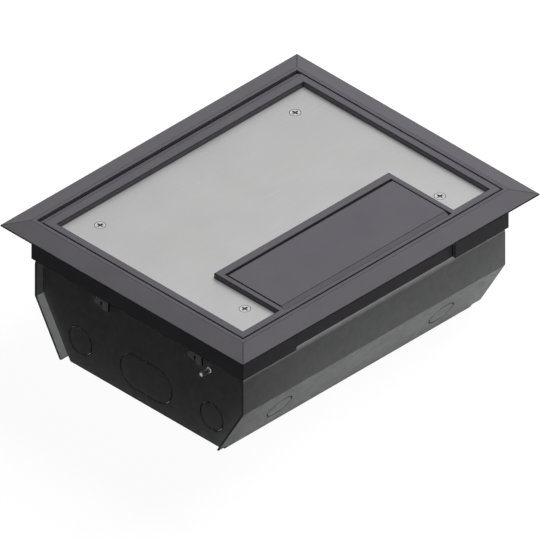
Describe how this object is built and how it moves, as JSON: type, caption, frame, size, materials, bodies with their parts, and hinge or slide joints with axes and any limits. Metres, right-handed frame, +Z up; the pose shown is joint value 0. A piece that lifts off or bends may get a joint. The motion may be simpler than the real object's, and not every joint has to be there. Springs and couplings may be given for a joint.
{
  "type": "floor socket box",
  "caption": "Raised-floor socket box with bevelled trim, hinged lid with cable flap, folded steel tub, switched outlets, data outlets and floor clamps.",
  "frame": {"origin": "centre of the steel base's underside, which is also the bottom centre of the whole box", "axes": "+Z up through the lid, +Y along the box, +X from the lid's hinge towards the cable flap"},
  "size_m": [0.27, 0.33, 0.1242],
  "materials": {
    "moulding": "matt, fine moulded grain, dark grey with a violet cast",
    "seal_rubber": "matt black",
    "lid_steel": "plain light grey steel sheet, satin",
    "galvanised_steel": "galvanised, faint spangle",
    "coated_steel": "light grey powder coat",
    "socket_white": "white, soft gloss",
    "switch_white": "white, gloss",
    "shutter_grey": "off-white, matt",
    "brass_parts": "bare brass",
    "jack_black": "black",
    "claw_steel": "dark passivated steel, used for the claws, jack screws and nuts",
    "zinc_fixings": "bright zinc plated"
  },
  "bodies": {
    "box": {"trim_frame": "moulding", "box_body": "galvanised_steel", "lid_seal": "seal_rubber", "end_plate_front": "galvanised_steel", "end_plate_rear": "galvanised_steel", "cross_rail_front": "galvanised_steel", "cross_rail_rear": "galvanised_steel", "partition_left": "galvanised_steel", "partition_right": "galvanised_steel", "power_plate_left": "coated_steel", "power_plate_right": "coated_steel", "data_plate": "coated_steel", "socket_front_1": "socket_white", "socket_rear_1": "socket_white", "socket_front_2": "socket_white", "socket_rear_2": "socket_white", "socket_front_3": "socket_white", "socket_rear_3": "socket_white", "socket_front_4": "socket_white", "socket_rear_4": "socket_white", "socket_contacts": "brass_parts", "terminal_blocks": "brass_parts", "terminal_screws": "zinc_fixings", "socket_screws": "zinc_fixings", "data_jack_1": "jack_black", "data_jack_2": "jack_black", "data_jack_3": "jack_black", "data_jack_4": "jack_black", "plate_screws": "zinc_fixings", "frame_screws": "zinc_fixings", "earth_stud": "zinc_fixings", "earth_nuts": "zinc_fixings", "earth_washers": "zinc_fixings", "lid_hinge_pins": "zinc_fixings"},
    "lid": {"lid_tray": "moulding", "lid_plate": "lid_steel", "lid_plate_screws": "zinc_fixings", "flap_hinge_pins": "zinc_fixings"},
    "flap": {"cable_flap": "moulding"},
    "switch_1": {"socket_switch_1": "switch_white"},
    "shutter_1": {"socket_shutter_1": "shutter_grey"},
    "switch_2": {"socket_switch_2": "switch_white"},
    "shutter_2": {"socket_shutter_2": "shutter_grey"},
    "switch_3": {"socket_switch_3": "switch_white"},
    "shutter_3": {"socket_shutter_3": "shutter_grey"},
    "switch_4": {"socket_switch_4": "switch_white"},
    "shutter_4": {"socket_shutter_4": "shutter_grey"},
    "jack_screw_1": {"clamp_screw_1": "claw_steel"},
    "nut_1": {"clamp_nut_1": "claw_steel"},
    "claw_1": {"clamp_claw_1": "claw_steel"},
    "jack_screw_2": {"clamp_screw_2": "claw_steel"},
    "nut_2": {"clamp_nut_2": "claw_steel"},
    "claw_2": {"clamp_claw_2": "claw_steel"},
    "jack_screw_3": {"clamp_screw_3": "claw_steel"},
    "nut_3": {"clamp_nut_3": "claw_steel"},
    "claw_3": {"clamp_claw_3": "claw_steel"},
    "jack_screw_4": {"clamp_screw_4": "claw_steel"},
    "nut_4": {"clamp_nut_4": "claw_steel"},
    "claw_4": {"clamp_claw_4": "claw_steel"}
  },
  "joints": [
    {"name": "lid_hinge", "type": "hinge", "parent": "box", "child": "lid", "pos_m": [-0.1079, 0, 0.1187], "axis": [0, -1, 0], "range_deg": [0, 95]},
    {"name": "flap_hinge", "type": "hinge", "parent": "lid", "child": "flap", "pos_m": [0.0465, 0, 0.1207], "axis": [0, -1, 0], "range_deg": [0, 90]},
    {"name": "switch_1_rock", "type": "hinge", "parent": "box", "child": "switch_1", "pos_m": [-0.066, -0.0825, 0.0525], "axis": [1, 0, 0], "range_deg": [0, 14]},
    {"name": "shutter_1_slide", "type": "slide", "parent": "box", "child": "shutter_1", "axis": [0, -1, 0], "range_m": [0, 0.0072], "stiffness_N_per_m": 60, "springref_m": -0.002},
    {"name": "switch_2_rock", "type": "hinge", "parent": "box", "child": "switch_2", "pos_m": [-0.066, 0.0215, 0.0525], "axis": [1, 0, 0], "range_deg": [0, 14]},
    {"name": "shutter_2_slide", "type": "slide", "parent": "box", "child": "shutter_2", "axis": [0, -1, 0], "range_m": [0, 0.0072], "stiffness_N_per_m": 60, "springref_m": -0.002},
    {"name": "switch_3_rock", "type": "hinge", "parent": "box", "child": "switch_3", "pos_m": [0.066, -0.0825, 0.0525], "axis": [1, 0, 0], "range_deg": [0, 14]},
    {"name": "shutter_3_slide", "type": "slide", "parent": "box", "child": "shutter_3", "axis": [0, -1, 0], "range_m": [0, 0.0072], "stiffness_N_per_m": 60, "springref_m": -0.002},
    {"name": "switch_4_rock", "type": "hinge", "parent": "box", "child": "switch_4", "pos_m": [0.066, 0.0215, 0.0525], "axis": [1, 0, 0], "range_deg": [0, 14]},
    {"name": "shutter_4_slide", "type": "slide", "parent": "box", "child": "shutter_4", "axis": [0, -1, 0], "range_m": [0, 0.0072], "stiffness_N_per_m": 60, "springref_m": -0.002},
    {"name": "jack_screw_1_turn", "type": "hinge", "parent": "box", "child": "jack_screw_1", "pos_m": [-0.047, -0.1418, 0.0902], "axis": [0, 0, 1], "range_deg": [-1265, 1985]},
    {"name": "nut_1_travel", "type": "slide", "parent": "box", "child": "nut_1", "axis": [0, 0, 1], "range_m": [-0.00385, 0.00245]},
    {"name": "claw_1_swing", "type": "hinge", "parent": "nut_1", "child": "claw_1", "pos_m": [-0.047, -0.1418, 0.082], "axis": [0, 0, -1], "range_deg": [0, 90]},
    {"name": "jack_screw_2_turn", "type": "hinge", "parent": "box", "child": "jack_screw_2", "pos_m": [0.057, -0.1418, 0.0902], "axis": [0, 0, 1], "range_deg": [-1265, 1985]},
    {"name": "nut_2_travel", "type": "slide", "parent": "box", "child": "nut_2", "axis": [0, 0, 1], "range_m": [-0.00385, 0.00245]},
    {"name": "claw_2_swing", "type": "hinge", "parent": "nut_2", "child": "claw_2", "pos_m": [0.057, -0.1418, 0.082], "axis": [0, 0, -1], "range_deg": [0, 90]},
    {"name": "jack_screw_3_turn", "type": "hinge", "parent": "box", "child": "jack_screw_3", "pos_m": [0.047, 0.1418, 0.0902], "axis": [0, 0, 1], "range_deg": [-1265, 1985]},
    {"name": "nut_3_travel", "type": "slide", "parent": "box", "child": "nut_3", "axis": [0, 0, 1], "range_m": [-0.00385, 0.00245]},
    {"name": "claw_3_swing", "type": "hinge", "parent": "nut_3", "child": "claw_3", "pos_m": [0.047, 0.1418, 0.082], "axis": [0, 0, -1], "range_deg": [0, 90]},
    {"name": "jack_screw_4_turn", "type": "hinge", "parent": "box", "child": "jack_screw_4", "pos_m": [-0.057, 0.1418, 0.0902], "axis": [0, 0, 1], "range_deg": [-1265, 1985]},
    {"name": "nut_4_travel", "type": "slide", "parent": "box", "child": "nut_4", "axis": [0, 0, 1], "range_m": [-0.00385, 0.00245]},
    {"name": "claw_4_swing", "type": "hinge", "parent": "nut_4", "child": "claw_4", "pos_m": [-0.057, 0.1418, 0.082], "axis": [0, 0, -1], "range_deg": [0, 90]}
  ],
  "couplings": [
    {"joint": "jack_screw_1_turn", "follows": "nut_1_travel", "rad_per_m": -8976},
    {"joint": "jack_screw_2_turn", "follows": "nut_2_travel", "rad_per_m": -8976},
    {"joint": "jack_screw_3_turn", "follows": "nut_3_travel", "rad_per_m": -8976},
    {"joint": "jack_screw_4_turn", "follows": "nut_4_travel", "rad_per_m": -8976}
  ]
}
